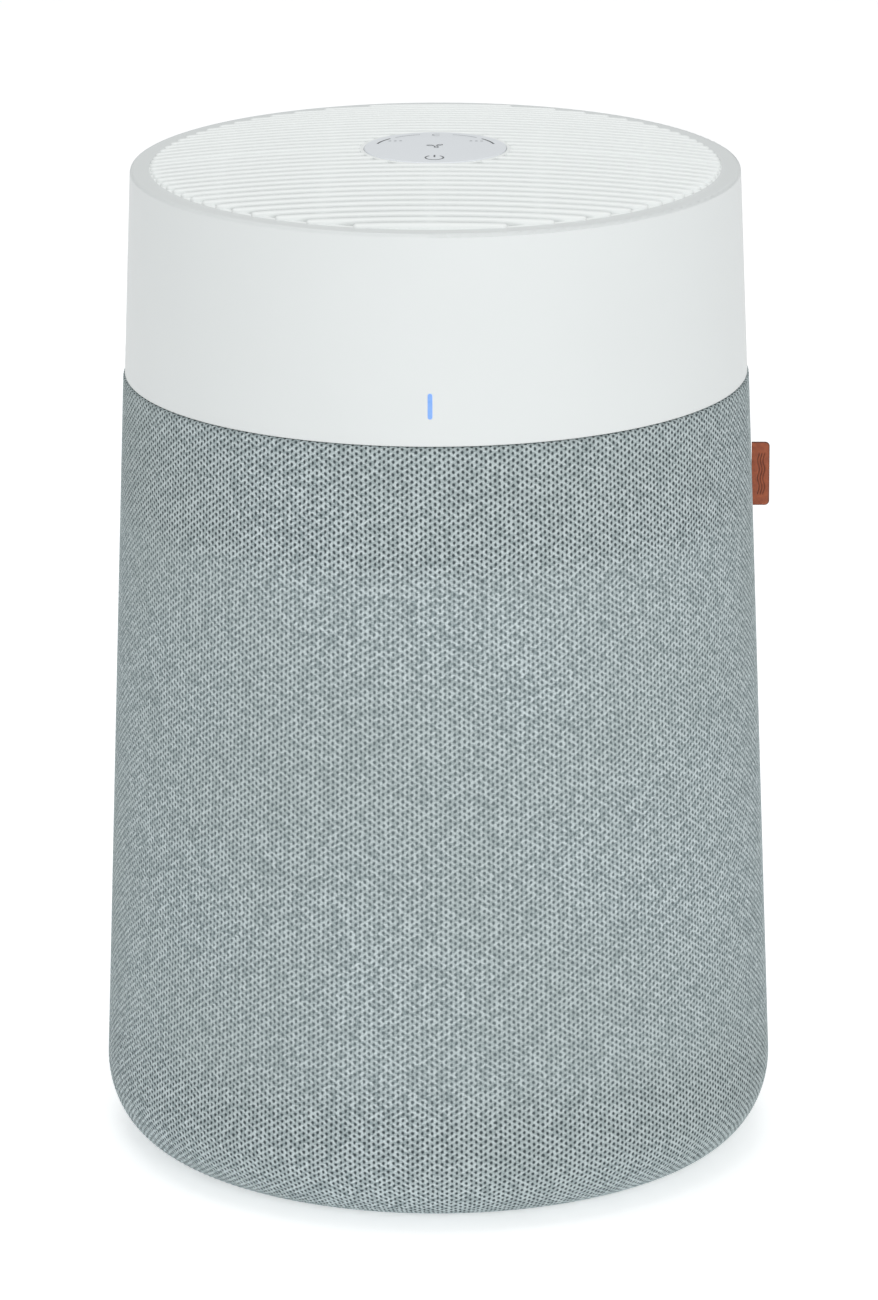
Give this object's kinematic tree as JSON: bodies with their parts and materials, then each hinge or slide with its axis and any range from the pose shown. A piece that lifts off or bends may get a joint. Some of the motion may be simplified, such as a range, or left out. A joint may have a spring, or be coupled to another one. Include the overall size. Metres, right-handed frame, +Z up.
{
  "type": "room air purifier",
  "caption": "Tapered round room air purifier: white top casing with a slatted domed outlet over a knit-fabric lower body, with a lift-out round filter and a fan inside.",
  "frame": {"origin": "on the floor under the middle of the purifier", "axes": "+Z up through the outlet grille; -Y is the front with the light bar; +X is the side with the leather tag"},
  "size_m": [0.3188, 0.3188, 0.4812],
  "materials": {
    "white_casing": "satin moulded",
    "white_grille": "satin moulded",
    "panel_face": "smooth",
    "board_green": "solder mask",
    "board_parts": "moulded",
    "ribbon": "film",
    "light_bar": "lit, translucent",
    "black_plastic": "moulded",
    "pin_metal": "plated",
    "knit_fabric": "open warp knit",
    "cage_plastic": "moulded",
    "deck_plastic": "moulded",
    "screw_steel": "zinc plated",
    "motor_metal": "drawn can",
    "bearing_steel": "ground",
    "stack_steel": "laminated",
    "coil_copper": "enamelled copper",
    "magnet": "coated ferrite",
    "lead_jacket": "insulated wire",
    "impeller_plastic": "moulded",
    "base_plastic": "moulded",
    "rubber_black": "soft",
    "seal_foam": "foam",
    "filter_plastic": "moulded",
    "filter_paper": "pleated non-woven",
    "carbon_fleece": "fleece",
    "tab_fabric": "woven tape",
    "tan_leather": "vegetable tanned"
  },
  "bodies": {
    "base": {"base_plate": "base_plastic", "filter_plinth": "base_plastic", "rubber_feet": "rubber_black", "base_screws": "screw_steel", "base_seal": "seal_foam"},
    "filter": {"filter_bottom_cap": "filter_plastic", "filter_top_cap": "filter_plastic", "filter_media": "filter_paper", "filter_core": "filter_plastic", "carbon_layer": "carbon_fleece", "filter_gasket": "seal_foam", "filter_pull_tab": "tab_fabric"},
    "housing": {"top_casing": "white_casing", "top_grille": "white_grille", "control_panel": "panel_face", "touch_board": "board_green", "panel_ribbon": "ribbon", "light_window": "light_bar", "led_board": "board_green", "power_inlet": "black_plastic", "inlet_pins": "pin_metal", "fabric_sleeve": "knit_fabric", "bottom_hem": "knit_fabric", "cage": "cage_plastic", "bottom_hoop": "cage_plastic", "fan_deck": "deck_plastic", "deck_screws": "screw_steel", "inlet_guard": "deck_plastic", "fan_bowl": "deck_plastic", "bowl_screws": "screw_steel", "casing_screws": "screw_steel", "motor_case": "motor_metal", "motor_cap": "motor_metal", "motor_bearings": "bearing_steel", "stator_core": "stack_steel", "stator_coils": "coil_copper", "motor_grommets": "rubber_black", "motor_screws": "screw_steel", "diffuser": "deck_plastic", "electronics_tray": "deck_plastic", "electronics_cover": "deck_plastic", "main_board": "board_green", "power_board": "board_green", "main_board_parts": "board_parts", "power_board_parts": "board_parts", "mains_lead": "lead_jacket", "led_lead": "lead_jacket", "sensor_lead": "lead_jacket", "particle_sensor": "black_plastic", "ioniser": "black_plastic", "ioniser_brushes": "pin_metal"},
    "rotor": {"motor_shaft": "bearing_steel", "rotor_core": "stack_steel", "rotor_magnet": "magnet", "impeller": "impeller_plastic", "impeller_ring": "impeller_plastic", "impeller_nut": "screw_steel"},
    "tag": {"leather_tag": "tan_leather"}
  },
  "joints": [
    {"name": "filter_lift", "type": "slide", "parent": "base", "child": "filter", "axis": [0, 0, 1], "range_m": [0, 0.07]},
    {"name": "housing_lift", "type": "slide", "parent": "filter", "child": "housing", "axis": [0, 0, 1], "range_m": [0, 0.34]},
    {"name": "impeller_spin", "type": "hinge", "parent": "housing", "child": "rotor", "pos_m": [0, 0, 0.38], "axis": [0, 0, 1], "continuous": true},
    {"name": "tag_flex", "type": "hinge", "parent": "housing", "child": "tag", "pos_m": [0.15008, 0, 0.3233], "axis": [-0.0362, 0, 0.9993], "range_deg": [-60, 60], "stiffness_Nm_per_rad": 0.002}
  ]
}
